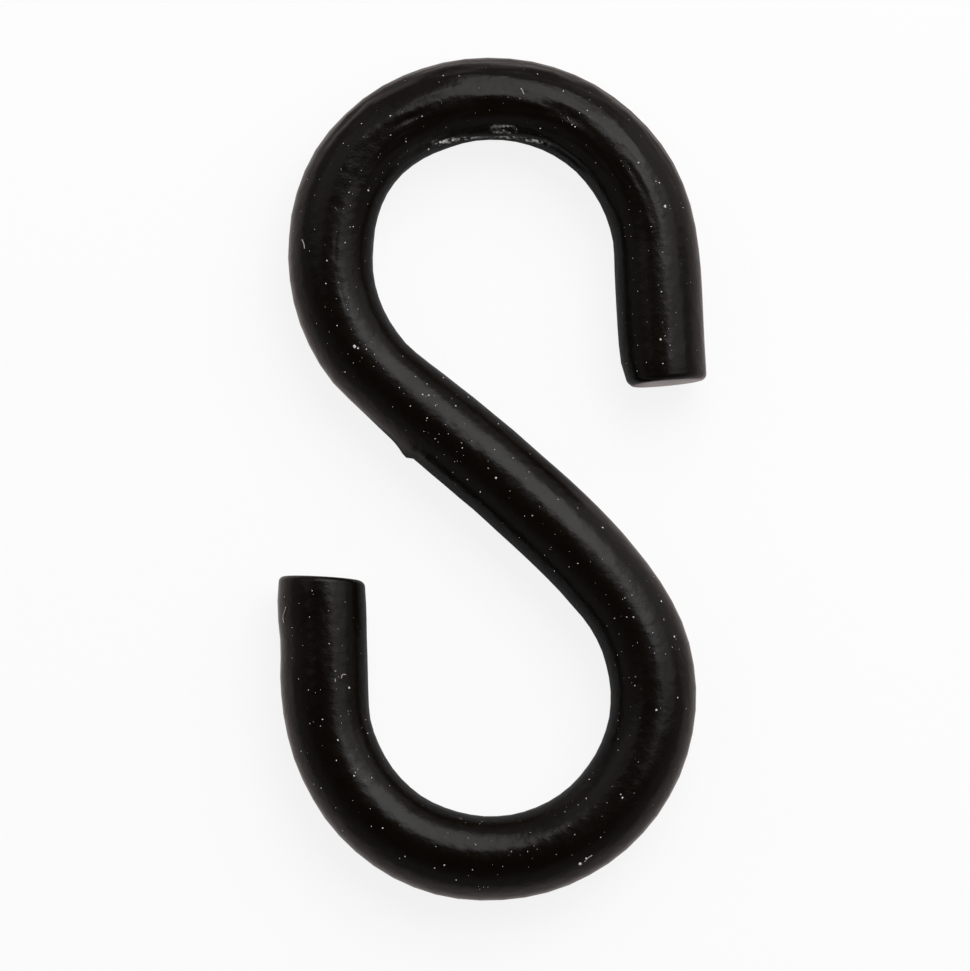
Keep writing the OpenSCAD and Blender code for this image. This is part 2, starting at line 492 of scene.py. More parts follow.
def middle_line(route):
    """Points every ROUTE_STEP or so along the middle line."""
    mount = upper_tip_mount()
    outward = Vector(mount["axis"])
    start = Vector(mount["pos_m"]) + outward * route.tip_reach
    lengths, turns = zip(*stretches(route))
    ends = np.concatenate([[0.0], np.cumsum(lengths)])
    headings = math.atan2(-outward.y, -outward.x) + np.concatenate([[0.0], np.cumsum(turns)])
    places = np.linspace(0.0, ends[-1], int(ends[-1] / ROUTE_STEP) + 1)
    steps = np.diff(places)
    heading = np.interp(places[:-1] + steps / 2, ends, headings)
    x = start.x + np.concatenate([[0.0], np.cumsum(steps * np.cos(heading))])
    y = start.y + np.concatenate([[0.0], np.cumsum(steps * np.sin(heading))])
    return [(px, py, CENTRE_HEIGHT) for px, py in zip(x, y)]


def gauge(places):
    """Radius and wander of the wire at these places, all in millimetres."""
    knots, radii, wanders = zip(*GAUGE)
    fine = np.arange(-GAUGE_SMOOTHING, knots[-1] + GAUGE_SMOOTHING, GAUGE_STEP)
    window = np.hanning(int(GAUGE_SMOOTHING / GAUGE_STEP))
    window /= window.sum()

    def smooth(values):
        held = np.interp(fine, knots, values)
        ends = (held[:1].repeat(len(window)), held[-1:].repeat(len(window)))
        run = np.convolve(np.concatenate([ends[0], held, ends[1]]), window, mode="same")
        return np.interp(places, fine, run[len(window) : -len(window)])

    return smooth(radii), smooth(wanders)


# ---------------------------------------------------------------- modelling tools


def deselect():
    """Leaves object mode with nothing selected."""
    if bpy.context.object and bpy.context.object.mode != "OBJECT":
        bpy.ops.object.mode_set(mode="OBJECT")
    bpy.ops.object.select_all(action="DESELECT")


def choose(*pieces):
    """Selects only these pieces and makes the first one active."""
    deselect()
    for piece in pieces:
        piece.select_set(True)
    bpy.context.view_layer.objects.active = pieces[0]


def points(piece):
    """The piece's vertices as rows of x, y and z, in millimetres."""
    found = np.empty(len(piece.data.vertices) * 3, np.float32)
    piece.data.vertices.foreach_get("co", found)
    return found.reshape(-1, 3).astype(float) / MM


def pick(piece, mode, chosen):
    """Opens the piece in edit mode with only these vertices, edges or faces selected."""
    choose(piece)
    bpy.ops.object.mode_set(mode="EDIT")
    bpy.ops.mesh.select_mode(type=mode)
    bpy.ops.mesh.select_all(action="DESELECT")
    bpy.ops.object.mode_set(mode="OBJECT")
    elements = {"VERT": piece.data.vertices, "EDGE": piece.data.edges, "FACE": piece.data.polygons}[mode]
    elements.foreach_set("select", chosen)
    bpy.ops.object.mode_set(mode="EDIT")


def done():
    """Leaves edit mode."""
    bpy.ops.object.mode_set(mode="OBJECT")


def face_middles(piece):
    """Middle of each face, in millimetres."""
    found = np.empty(len(piece.data.polygons) * 3, np.float32)
    piece.data.polygons.foreach_get("center", found)
    return found.reshape(-1, 3).astype(float) / MM


def edge_ends(piece):
    """Both ends of each edge, in millimetres."""
    ends = np.empty(len(piece.data.edges) * 2, np.int32)
    piece.data.edges.foreach_get("vertices", ends)
    both = points(piece)[ends].reshape(-1, 2, 3)
    return both[:, 0], both[:, 1]


def refine(piece, chosen, cuts):
    """Cuts the chosen faces into a finer grid."""
    pick(piece, "FACE", chosen)
    bpy.ops.mesh.subdivide(number_cuts=cuts)
    done()


def apply_with_group(piece, modifier, weights):
    """Applies a modifier with these weights, one for each vertex."""
    group = piece.vertex_groups.new(name=modifier.name)
    for index in np.flatnonzero(weights > LEAST_WEIGHT):
        group.add([int(index)], float(weights[index]), "REPLACE")
    modifier.vertex_group = group.name
    choose(piece)
    bpy.ops.object.modifier_apply(modifier=modifier.name)
    piece.vertex_groups.clear()


def push(piece, name, offsets, direction):
    """Moves the piece's vertices by these signed millimetres, along one axis or along their normals."""
    for sign in (1.0, -1.0):
        part = np.clip(offsets * sign, 0.0, None)
        depth = part.max()
        if depth > 0:
            modifier = piece.modifiers.new(name, "DISPLACE")
            modifier.direction = direction
            modifier.mid_level = 0.0
            modifier.strength = sign * depth * MM
            apply_with_group(piece, modifier, part / depth)


def roughen(piece, name, texture, depth, mask):
    """Raises and sinks the piece's surface by a texture, where the mask lets it."""
    modifier = piece.modifiers.new(name, "DISPLACE")
    modifier.direction = "NORMAL"
    modifier.texture = texture
    modifier.texture_coords = "LOCAL"
    modifier.mid_level = 0.5
    modifier.strength = depth
    apply_with_group(piece, modifier, mask)


def bend_to_shape(piece, route):
    """Bends a piece that lies along the straight wire onto the hook's middle line."""
    line = middle_line(route)
    former = bpy.data.curves.new("former", "CURVE")
    former.dimensions = "3D"
    former.twist_mode = "Z_UP"
    spline = former.splines.new("POLY")
    spline.points.add(len(line) - 1)
    spline.points.foreach_set("co", [value for point in line for value in (*point, 1.0)])
    holder = bpy.data.objects.new("former", former)
    bpy.context.scene.collection.objects.link(holder)
    modifier = piece.modifiers.new("bend", "CURVE")
    modifier.object = holder
    modifier.deform_axis = "POS_X"
    choose(piece)
    bpy.ops.object.modifier_apply(modifier=modifier.name)
    bpy.data.objects.remove(holder)
    bpy.data.curves.remove(former)


def fade(values, low, high, soft):
    """One between low and high, falling smoothly to nought over a soft width outside."""
    outside = np.maximum(low - values, values - high).clip(0.0, soft) / soft
    return 0.5 + 0.5 * np.cos(np.pi * outside)


def angle_round(places):
    """Angle of each place round the straight wire in degrees, from -90 underneath over its left side."""
    return (np.degrees(np.arctan2(places[:, 2], places[:, 1])) + 90.0) % 360.0 - 90.0


def patch(places, area):
    """How far each place of the straight wire lies in an area, from nought to one."""
    along = fade(places[:, 0], area["start"], area["end"], area["soft_length"])
    return along * fade(angle_round(places), area["from_angle"], area["to_angle"], area["soft_angle"])


def finish_piece(piece, name, material, smooth_angle=180.0):
    """Names, smooths and paints a piece, and lets it ride on the hook's body."""
    piece.name = name
    piece.data.name = name
    choose(piece)
    bpy.ops.object.transform_apply(location=True, rotation=True, scale=True)
    bpy.ops.object.shade_smooth_by_angle(angle=math.radians(smooth_angle))
    piece.data.materials.clear()
    piece.data.materials.append(material)
    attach(piece, BODY)


# ---------------------------------------------------------------- material tools


def feed(tree, made, inputs):
    """Gives a node's inputs their values, or links them to the sockets that feed them."""
    for key, value in inputs.items():
        if isinstance(value, bpy.types.NodeSocket):
            tree.links.new(value, made.inputs[key])
        else:
            made.inputs[key].default_value = value
    return made


def node(tree, kind, inputs=None, **settings):
    """A new node with these settings and inputs."""
    made = tree.nodes.new(kind)
    for key, value in settings.items():
        setattr(made, key, value)
    return feed(tree, made, inputs or {})


def new_group(name, inputs, outputs):
    """An empty node group with named sockets, and its two end nodes."""
    tree = bpy.data.node_groups.new(name, "ShaderNodeTree")
    for socket, (kind, default) in inputs.items():
        made = tree.interface.new_socket(socket, in_out="INPUT", socket_type=kind)
        if default is not None:
            made.default_value = default
    for socket, kind in outputs.items():
        tree.interface.new_socket(socket, in_out="OUTPUT", socket_type=kind)
    return tree, tree.nodes.new("NodeGroupInput").outputs, tree.nodes.new("NodeGroupOutput")


def use_group(tree, group, inputs):
    """Places a node group in a material with its own values, and gives its outputs."""
    placed = tree.nodes.new("ShaderNodeGroup")
    placed.node_tree = group
    return feed(tree, placed, inputs).outputs


def maths(tree, operation, first, second=0.0, third=0.0):
    """A maths node's result."""
    return node(tree, "ShaderNodeMath", {0: first, 1: second, 2: third}, operation=operation).outputs[0]


def ramp(tree, value, low, high, at_low=0.0, at_high=1.0, kind="LINEAR"):
    """Turns a value that runs from low to high into one that runs from at_low to at_high."""
    inputs = {"Value": value, "From Min": low, "From Max": high, "To Min": at_low, "To Max": at_high}
    return node(tree, "ShaderNodeMapRange", inputs, interpolation_type=kind).outputs["Result"]


def blend_colours(tree, share, first, second):
    """The first colour, with this share of the second one mixed in."""
    inputs = {"Factor": share, "A": first, "B": second}
    return node(tree, "ShaderNodeMix", inputs, data_type="RGBA").outputs["Result"]


def blend_shaders(tree, share, first, second):
    """The first shader, with this share of the second one mixed in."""
    return node(tree, "ShaderNodeMixShader", {0: share, 1: first, 2: second}).outputs["Shader"]


def opaque(tint):
    """A colour at full opacity."""
    return (*tint, 1.0)


def new_material(name):
    """A material with an empty tree, that tree, its output node and the piece's own coordinates."""
    material = bpy.data.materials.new(name)
    material.use_nodes = True
    tree = material.node_tree
    tree.nodes.clear()
    out = tree.nodes.new("ShaderNodeOutputMaterial")
    here = tree.nodes.new("ShaderNodeTexCoord").outputs["Object"]
    return material, tree, out, here


def mottle_group():
    """Slow, soft variation between two values."""
    if "mottle" in bpy.data.node_groups:
        return bpy.data.node_groups["mottle"]
    inputs = {
        "Vector": ("NodeSocketVector", None),
        "Size": ("NodeSocketFloat", 1.0 * MM),
        "Low": ("NodeSocketFloat", 0.0),
        "High": ("NodeSocketFloat", 1.0),
    }
    tree, given, out = new_group("mottle", inputs, {"Value": "NodeSocketFloat"})
    scale = maths(tree, "DIVIDE", 1.0, given["Size"])
    noise = node(tree, "ShaderNodeTexNoise", {"Vector": given["Vector"], "Scale": scale, "Detail": 3.0})
    spread = ramp(tree, noise.outputs["Fac"], low=0.3, high=0.7, at_low=given["Low"], at_high=given["High"])
    tree.links.new(spread, out.inputs["Value"])
    return tree


def peel_group():
    """Fine ripples of a sprayed and baked coat, on broad ones five times as wide."""
    broadness = 5.0
    if "coat_peel" in bpy.data.node_groups:
        return bpy.data.node_groups["coat_peel"]
    inputs = {
        "Vector": ("NodeSocketVector", None),
        "Size": ("NodeSocketFloat", 0.3 * MM),
        "Swell": ("NodeSocketFloat", 0.0),
    }
    tree, given, out = new_group("coat_peel", inputs, {"Height": "NodeSocketFloat"})
    scale = maths(tree, "DIVIDE", 1.0, given["Size"])
    fine = node(tree, "ShaderNodeTexNoise", {"Vector": given["Vector"], "Scale": scale, "Detail": 2.0})
    wide = maths(tree, "DIVIDE", scale, broadness)
    broad = node(tree, "ShaderNodeTexNoise", {"Vector": given["Vector"], "Scale": wide, "Detail": 1.0})
    height = maths(tree, "MULTIPLY_ADD", broad.outputs["Fac"], given["Swell"], fine.outputs["Fac"])
    tree.links.new(height, out.inputs["Height"])
    return tree


def film_group():
    """Dust too fine for grains of its own: small soft dots of many sizes, the larger ones rare."""
    rarity = 6.0
    if "dust_film" in bpy.data.node_groups:
        return bpy.data.node_groups["dust_film"]
    inputs = {
        "Vector": ("NodeSocketVector", None),
        "Spacing": ("NodeSocketFloat", 0.3 * MM),
        "Largest": ("NodeSocketFloat", 0.1),
    }
    tree, given, out = new_group("dust_film", inputs, {"Mask": "NodeSocketFloat"})
    scale = maths(tree, "DIVIDE", 1.0, given["Spacing"])
    cells = node(tree, "ShaderNodeTexVoronoi", {"Vector": given["Vector"], "Scale": scale})
    chance = node(tree, "ShaderNodeSeparateColor", {"Color": cells.outputs["Color"]})
    rare = maths(tree, "POWER", chance.outputs["Red"], rarity)
    radius = maths(tree, "MULTIPLY", rare, given["Largest"])
    dot = ramp(tree, cells.outputs["Distance"], low=radius, high=0.0, kind="SMOOTHSTEP")
    tree.links.new(dot, out.inputs["Mask"])
    return tree


def crust_glint_group():
    """Broken pale blobs of painted glint, some cells of a fine pattern being bright and the rest dark."""
    if "crust" in bpy.data.node_groups:
        return bpy.data.node_groups["crust"]
    inputs = {
        "Vector": ("NodeSocketVector", None),
        "Size": ("NodeSocketFloat", 0.17 * MM),
        "Share": ("NodeSocketFloat", 0.5),
    }
    tree, given, out = new_group("crust", inputs, {"Mask": "NodeSocketFloat"})
    scale = maths(tree, "DIVIDE", 1.0, given["Size"])
    cells = node(tree, "ShaderNodeTexVoronoi", {"Vector": given["Vector"], "Scale": scale})
    chance = node(tree, "ShaderNodeSeparateColor", {"Color": cells.outputs["Color"]})
    bright = ramp(tree, chance.outputs["Red"], low=maths(tree, "SUBTRACT", 1.0, given["Share"]), high=1.0)
    blob = ramp(tree, cells.outputs["Distance"], low=0.75, high=0.45, kind="SMOOTHSTEP")
    mask = maths(tree, "MULTIPLY", bright, blob)
    tree.links.new(mask, out.inputs["Mask"])
    return tree


def coat_material(finish):
    """Satin black coat with fine peel, uneven gloss, dust film and a crust where it blistered, with pale
    blobs of painted glint.
    """
    material, tree, out, here = new_material("black_coat")
    dots = {"Vector": here, "Spacing": finish.film_spacing, "Largest": finish.film_dot}
    film = maths(tree, "MULTIPLY", use_group(tree, film_group(), dots)["Mask"], finish.film)
    dusted = blend_colours(tree, film, opaque(finish.black), opaque(finish.film_tint))
    crusted = node(tree, "ShaderNodeAttribute", attribute_name="crusted").outputs["Fac"]
    blobs = {"Vector": here, "Size": finish.glint_blob, "Share": finish.glint_share}
    crust = maths(tree, "MULTIPLY", crusted, use_group(tree, crust_glint_group(), blobs)["Mask"])
    # Painted glints: the crust's pale blobs mixed into the coat's colour.
    paint = blend_colours(tree, crust, dusted, opaque(finish.crust))
    patches = {
        "Vector": here,
        "Size": finish.gloss_patch,
        "Low": finish.roughness - finish.gloss_spread,
        "High": finish.roughness + finish.gloss_spread,
    }
    satin = use_group(tree, mottle_group(), patches)["Value"]
    roughness = {"Factor": crust, "A": satin, "B": finish.crust_roughness}
    gloss = node(tree, "ShaderNodeMix", roughness, data_type="FLOAT")
    peel = {"Vector": here, "Size": finish.peel_size, "Swell": finish.swell}
    ripples = use_group(tree, peel_group(), peel)["Height"]
    relief = node(tree, "ShaderNodeBump", {"Height": ripples, "Distance": finish.peel_depth})
    coat = {
        "Base Color": paint,
        "Roughness": gloss.outputs["Result"],
        "Specular IOR Level": finish.sheen,
        "Normal": relief.outputs["Normal"],
    }
    shader = node(tree, "ShaderNodeBsdfPrincipled", coat)
    tree.links.new(shader.outputs["BSDF"], out.inputs["Surface"])
    return material


def fluff_material(name, tint, roughness, size):
    """Dry, matt and slightly uneven dust or lint."""
    material, tree, out, here = new_material(name)
    shade = use_group(tree, mottle_group(), {"Vector": here, "Size": size, "Low": 0.7, "High": 1.0})["Value"]
    dark = tuple(FLUFF_DARKEST * part for part in tint)
    paint = blend_colours(tree, shade, opaque(dark), opaque(tint))
    grit = use_group(tree, peel_group(), {"Vector": here, "Size": size / GRIT_FINENESS})["Height"]
    relief = node(tree, "ShaderNodeBump", {"Height": grit, "Distance": size / GRIT_FLATNESS})
    fluff = {"Base Color": paint, "Roughness": roughness, "Normal": relief.outputs["Normal"]}
    shader = node(tree, "ShaderNodeBsdfPrincipled", fluff)
    tree.links.new(shader.outputs["BSDF"], out.inputs["Surface"])
    return material


# ---------------------------------------------------------------- the wire


def cut_stock(route, shape):
    """A straight round bar with rounded rims, as long as the middle line and finely ringed to bend."""
    total = wire_length(route)
    deselect()
    bpy.ops.mesh.primitive_cylinder_add(
        vertices=SIDES,
        radius=shape.stock_radius,
        depth=total,
        end_fill_type="NGON",
        location=(total / 2, 0.0, 0.0),
        rotation=(0.0, math.pi / 2, 0.0),
    )
    wire = bpy.context.object
    bpy.ops.object.transform_apply(location=True, rotation=True, scale=True)
    one_end, other_end = edge_ends(wire)
    rims = np.abs(one_end[:, 0] - other_end[:, 0]) < SAME_RING
    pick(wire, "EDGE", rims)
    bpy.ops.mesh.bevel(offset=shape.rim, segments=RIM_STEPS, affect="EDGES")
    done()
    middles = face_middles(wire)
    flat = np.minimum(middles[:, 0], total / MM - middles[:, 0]) < FLUSH
    pick(wire, "FACE", flat)
    inset = (shape.stock_radius - shape.rim) / CAP_RINGS
    for _ in range(CAP_RINGS - 1):
        bpy.ops.mesh.inset(thickness=inset)
    bpy.ops.mesh.poke()
    done()
    one_end, other_end = edge_ends(wire)
    long_edges = np.abs(one_end[:, 0] - other_end[:, 0]) > total / MM / 2
    pick(wire, "EDGE", long_edges)
    bpy.ops.mesh.subdivide(number_cuts=int(total / MM / RING_SPACING))
    done()
    return wire


def draw_down(wire):
    """Gives the straight bar its true thickness, which bending and cutting changed, and its small wander."""
    x, y, z = points(wire).T
    radius, wander = gauge(x)
    stock = np.hypot(y, z).max()
    side = y * (radius / stock - 1) + wander
    tall = z * (np.minimum(radius, TALLEST_RADIUS) / stock - 1)
    push(wire, "draw sideways", side, "Y")
    push(wire, "draw upwards", tall, "Z")


def shear_ends(wire, route, shape):
    """Slants both end faces and rolls their edges over, as bar shears do."""
    end = wire_length(route) / MM
    radius = shape.stock_radius / MM
    x, y, z = points(wire).T
    near = fade(x, -SLANT_HOLD, SLANT_HOLD, SLANT_FADE)
    far = fade(x, end - SLANT_HOLD, end + SLANT_HOLD, SLANT_FADE)
    dome = shape.upper_dome / MM * ((y**2 + z**2) / radius**2 - 1)
    upper_slant = near * (dome - y * math.tan(shape.upper_slant))
    lower_slant = far * y * math.tan(shape.lower_slant)
    push(wire, "slant", upper_slant + lower_slant, "X")
    x, y, z = points(wire).T
    across = y / np.hypot(y, z).clip(LEAST_DIVISOR)
    to_left = across.clip(0.0, 1.0) ** ROLL_FOCUS
    to_right = (-across).clip(0.0, 1.0) ** ROLL_FOCUS
    outermost = (np.hypot(y, z) / radius).clip(0.0, 1.0)
    from_upper = x.clip(0.0)
    from_lower = (end - x).clip(0.0)
    upper_roll = shape.upper_roll / MM * np.exp(-from_upper / (shape.upper_roll_reach / MM))
    lower_roll = shape.lower_roll / MM * np.exp(-from_lower / (shape.lower_roll_reach / MM))
    lower_lead = shape.lower_lead / MM * (1 - from_lower / (shape.lower_lead_reach / MM)).clip(0.0)
    push(wire, "roll", outermost * (lower_roll * to_right - (upper_roll + lower_lead) * to_left), "Y")


def raise_run(wire, shape):
    """A run of coat that hardened on the outer side, swelling slowly and ending short."""
    middles = face_middles(wire)
    near = (middles[:, 0] > RUN_PLACE - RUN_AREA_BEFORE) & (middles[:, 0] < RUN_PLACE + RUN_AREA_AFTER)
    facing = np.abs(angle_round(middles) - RUN_ANGLE) < RUN_AREA_ANGLE
    refine(wire, near & facing, cuts=2)
    places = points(wire)
    along = places[:, 0] - RUN_PLACE
    swell = np.where(along < 0, (along / RUN_BEFORE) ** 2, (along / RUN_AFTER) ** 4)
    around = ((angle_round(places) - RUN_ANGLE) / RUN_SPREAD) ** 2
    push(wire, "run", shape.run_height / MM * np.exp(-swell - around), "NORMAL")


def sink_pits(wire):
    """Small pits where the coat drew back."""
    for place, side, radius, depth in PITS:
        middles = face_middles(wire)
        near = np.hypot(middles[:, 0] - place, middles[:, 1] - side) < PIT_AREA * radius
        refine(wire, near & (middles[:, 2] > 0), cuts=1)
        x, y, z = points(wire).T
        apart = np.hypot(x - place, y - side) / radius
        lip = PIT_LIP_HEIGHT * np.exp(-((apart - PIT_LIP_RADIUS) ** 2) * PIT_LIP_SHARPNESS)
        bowl = np.where(z > 0, np.exp(-(apart**2)) - lip, 0.0)
        push(wire, "pit", -depth * bowl, "NORMAL")


def crust_mask(places):
    """How much of the blistered crust, where its painted glints go, or its bubbles is at each place of the
    straight wire, up to one.
    """
    middle = CRUST["angle"] + CRUST["climb"] * (places[:, 0] - CRUST["middle"]) ** 2
    half_width = CRUST["half_width"]
    line = fade(places[:, 0], CRUST["start"], CRUST["end"], CRUST["soft_length"])
    line *= fade(angle_round(places) - middle, -half_width, half_width, CRUST["soft_angle"])
    return np.maximum(line, BUBBLE_STRENGTH * patch(places, BUBBLES))


def lump_coat(wire, shape):
    """Soft lumps in the coat, deepest over the crown."""
    lumps = bpy.data.textures.new("coat lumps", "CLOUDS")
    lumps.noise_scale = shape.lump_size
    lumps.noise_depth = 1
    places = points(wire)
    x = places[:, 0]
    margin = OTHER_LUMPS["margin"]
    others = OTHER_LUMPS["strength"] * fade(x, margin, x.max() - margin, OTHER_LUMPS["soft_length"])
    roughen(wire, "lumps", lumps, shape.lump_depth, np.maximum(patch(places, LUMPS), others))


def blister_coat(wire, shape):
    """The crust and its bubbles on the crown's inner side."""
    refine(wire, crust_mask(face_middles(wire)) > LEAST_CRUST, cuts=3)
    blisters = bpy.data.textures.new("coat blisters", "VORONOI")
    blisters.noise_scale = shape.blister_size
    roughen(wire, "blisters", blisters, -shape.blister_depth, crust_mask(points(wire)))
    # Where the crust is, which also places its painted glints.
    crusted = wire.data.attributes.new("crusted", "FLOAT", "POINT")
    crusted.data.foreach_set("value", crust_mask(points(wire)).astype(np.float32))


class HOOK_OT_wire(bpy.types.Operator):
    """Cuts, coats and bends the wire, and lets it stand for the hook of the frame"""

    bl_idname = "hook.wire"
    bl_label = "Make the wire"

    def execute(self, context):
        route = context.scene.hook_route
        shape = context.scene.hook_shape
        wire = cut_stock(route, shape)
        draw_down(wire)
        shear_ends(wire, route, shape)
        raise_run(wire, shape)
        lump_coat(wire, shape)
        sink_pits(wire)
        blister_coat(wire, shape)
        bend_to_shape(wire, route)
        finish_piece(wire, "coated_wire", coat_material(context.scene.hook_coat))
        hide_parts(CAD_NODE)
        return {"FINISHED"}


# ---------------------------------------------------------------- dust and lint


def angle_at(place, side):
    """Angle round the straight wire of a point on its upper surface, in radians."""
    radius, wander = gauge(np.array([place]))
    across = (side - wander[0]) / radius[0]
    return math.acos(max(-1.0, min(1.0, across)))


def surface_point(place, around, lift):
    """A point at this angle round the straight wire, lifted off it but kept under the CAD box's top."""
    radius, wander = gauge(np.array([place]))
    out = radius[0] + lift
    ceiling = HEADROOM / MM - TOP_ROOM_PER_LIFT * lift - TOP_ROOM
    height = min(out * math.sin(around), ceiling)
    return Vector((place, wander[0] + out * math.cos(around), height)) * MM


def crumb_shapes(seed):
    """A few crumbs a millimetre across, each broken differently."""
    crumbs = []
    for number in range(CRUMB_KINDS):
        deselect()
        bpy.ops.mesh.primitive_ico_sphere_add(subdivisions=2, radius=0.5 * MM)
        crumb = bpy.context.object
        bpy.ops.object.mode_set(mode="EDIT")
        bpy.ops.mesh.select_all(action="SELECT")
        bpy.ops.transform.vertex_random(offset=CRUMB_BREAK, seed=seed + number)
        done()
        crumbs.append(crumb)
    return crumbs


def lay_crumb(crumb, place, around, size, spin):
    """Copies a crumb onto the straight wire, flat side down."""
    laid = bpy.data.objects.new("crumb", crumb.data.copy())
    bpy.context.scene.collection.objects.link(laid)
    form = [size * part for part in CRUMB_FORM]
    laid.matrix_world = (
        Matrix.Translation(surface_point(place, around, size * CRUMB_LIFT))
        @ Matrix.Rotation(around - math.pi / 2, 4, "X")
        @ Matrix.Rotation(spin, 4, "Z")
        @ Matrix.Diagonal((*form, 1.0))
    )
    return laid


def join(pieces):
    """Makes one piece of several."""
    choose(*pieces)
    bpy.ops.object.transform_apply(location=True, rotation=True, scale=True)
    bpy.ops.object.join()
    return bpy.context.object


class HOOK_OT_dust(bpy.types.Operator):
    """Lays dust grains over the coat, the plainest ones at their own places and fine ones by chance"""

    bl_idname = "hook.dust"
    bl_label = "Lay the dust"

    def execute(self, context):
        finish = context.scene.hook_dust
        route = context.scene.hook_route
        chance = random.Random(finish.seed)
        crumbs = crumb_shapes(finish.seed)
        laid = []
        for place, side, size in GRAINS:
            around = angle_at(place, side)
            laid.append(lay_crumb(chance.choice(crumbs), place, around, size, chance.uniform(0, math.tau)))
        end = wire_length(route) / MM
        for _ in range(finish.fine_grains):
            size = finish.finest / MM + (finish.coarsest - finish.finest) / MM * chance.random() ** FINE_BIAS
            place = chance.uniform(FINE_MARGIN, end - FINE_MARGIN)
            around = math.radians(chance.triangular(*FINE_ANGLES))
            laid.append(lay_crumb(chance.choice(crumbs), place, around, size, chance.uniform(0, math.tau)))
        dust = join(laid)
        for crumb in crumbs:
            bpy.data.objects.remove(crumb)
        bend_to_shape(dust, route)
        material = fluff_material("dust", finish.grain, roughness=0.9, size=0.05 * MM)
        finish_piece(dust, "dust_grains", material, smooth_angle=40.0)
        return {"FINISHED"}


class HOOK_OT_lint(bpy.types.Operator):
    """Lays the few lint fibres that cling to the coat"""

    bl_idname = "hook.lint"
    bl_label = "Lay the lint"

    def execute(self, context):
        finish = context.scene.hook_dust
        route = context.scene.hook_route
        fibres = []
        for trail in LINT:
            fibre = bpy.data.curves.new("fibre", "CURVE")
            fibre.dimensions = "3D"
            fibre.bevel_depth = finish.lint_thickness / 2
            fibre.bevel_resolution = 2
            fibre.use_fill_caps = True
            spline = fibre.splines.new("NURBS")
            spline.points.add(len(trail) - 1)
            spline.order_u = min(4, len(trail))
            spline.use_endpoint_u = True
            for point, (place, side) in zip(spline.points, trail):
                point.co = (*surface_point(place, angle_at(place, side), LINT_LIFT), 1.0)
            laid = bpy.data.objects.new("fibre", fibre)
            bpy.context.scene.collection.objects.link(laid)
            fibres.append(laid)
        choose(*fibres)
        bpy.ops.object.convert(target="MESH")
        lint = join(fibres)
        bend_to_shape(lint, route)
        material = fluff_material("lint", finish.lint, roughness=0.75, size=0.08 * MM)
        finish_piece(lint, "lint_fibres", material, smooth_angle=60.0)
        return {"FINISHED"}


# ---------------------------------------------------------------- the stage


def beyond_hook(tree, here):
    """Mask of the floor's gleam, a painted reflection: nought well inside the hook's long round outline, as
    painted shade there, one near its edge and beyond.
    """
    half_width = (CAD_BOX[1].x - CAD_BOX[0].x) / 2
    half_length = (CAD_BOX[1].y - CAD_BOX[0].y) / 2
    place = node(tree, "ShaderNodeSeparateXYZ", {0: here}).outputs
    past_crook = maths(tree, "SUBTRACT", maths(tree, "ABSOLUTE", place["Y"]), half_length - half_width)
    past_crook = maths(tree, "MAXIMUM", past_crook, 0.0)
    past_square = maths(tree, "MULTIPLY", past_crook, past_crook)
    squares = maths(tree, "MULTIPLY_ADD", place["X"], place["X"], past_square)
    reach = maths(tree, "SQRT", squares)
    return ramp(tree, reach, half_width - GLEAM_STARTS, half_width - GLEAM_FULL, kind="SMOOTHSTEP")


def floor_material(setup):
    """Pale matt floor, seen by the camera as white with the hook's shadow, that gleams around the hook in
    the coat's reflections only: a painted reflection, left out inside the hook's outline as painted shade.
    """
    material, tree, out, here = new_material("floor")
    matt = node(tree, "ShaderNodeBsdfDiffuse", {"Color": opaque(setup.floor)}).outputs["BSDF"]
    paper = node(tree, "ShaderNodeBsdfDiffuse", {"Color": WHITE}).outputs["BSDF"]
    white = node(tree, "ShaderNodeEmission", {"Color": WHITE, "Strength": 1.0}).outputs["Emission"]
    warm = node(tree, "ShaderNodeEmission", {"Color": opaque(setup.gleam), "Strength": 1.0})
    path = tree.nodes.new("ShaderNodeLightPath").outputs
    mirrored = maths(tree, "MULTIPLY", path["Is Glossy Ray"], beyond_hook(tree, here))
    gleam = maths(tree, "MULTIPLY", mirrored, setup.floor_gleam)
    gleaming = blend_shaders(tree, gleam, matt, warm.outputs["Emission"])
    seen = blend_shaders(tree, setup.floor_whiteness, paper, white)
    mixed = blend_shaders(tree, path["Is Camera Ray"], gleaming, seen)
    tree.links.new(mixed, out.inputs["Surface"])
    return material


def room(setup):
    """A dim room, darker overhead, that the camera sees as white."""
    world = bpy.data.worlds.new("room")
    bpy.context.scene.world = world
    world.use_nodes = True
    tree = world.node_tree
    tree.nodes.clear()
    way = node(tree, "ShaderNodeSeparateXYZ", {0: tree.nodes.new("ShaderNodeTexCoord").outputs["Generated"]})
    steepness = way.outputs["Z"]
    glow = ramp(tree, steepness, ROOM_DARKENS, ROOM_DARKEST, setup.horizon, setup.zenith, kind="SMOOTHSTEP")
    seen = tree.nodes.new("ShaderNodeLightPath").outputs["Is Camera Ray"]
    strength = maths(tree, "MAXIMUM", glow, seen)
    background = node(tree, "ShaderNodeBackground", {"Color": WHITE, "Strength": strength})
    out = tree.nodes.new("ShaderNodeOutputWorld")
    tree.links.new(background.outputs[0], out.inputs["Surface"])


def add_lamp(name, way, distance, size, radiance):
    """A square lamp of an even radiance that faces the hook."""
    deselect()
    target = (CAD_BOX[0] + CAD_BOX[1]) / 2
    direction = Vector(way).normalized()
    bpy.ops.object.light_add(type="AREA", location=target + direction * distance)
    lamp = bpy.context.object
    lamp.name = name
    lamp.rotation_mode = "QUATERNION"
    lamp.rotation_quaternion = direction.to_track_quat("Z", "Y")
    lamp.data.shape = "SQUARE"
    lamp.data.size = size
    lamp.data.energy = radiance * math.pi * size**2


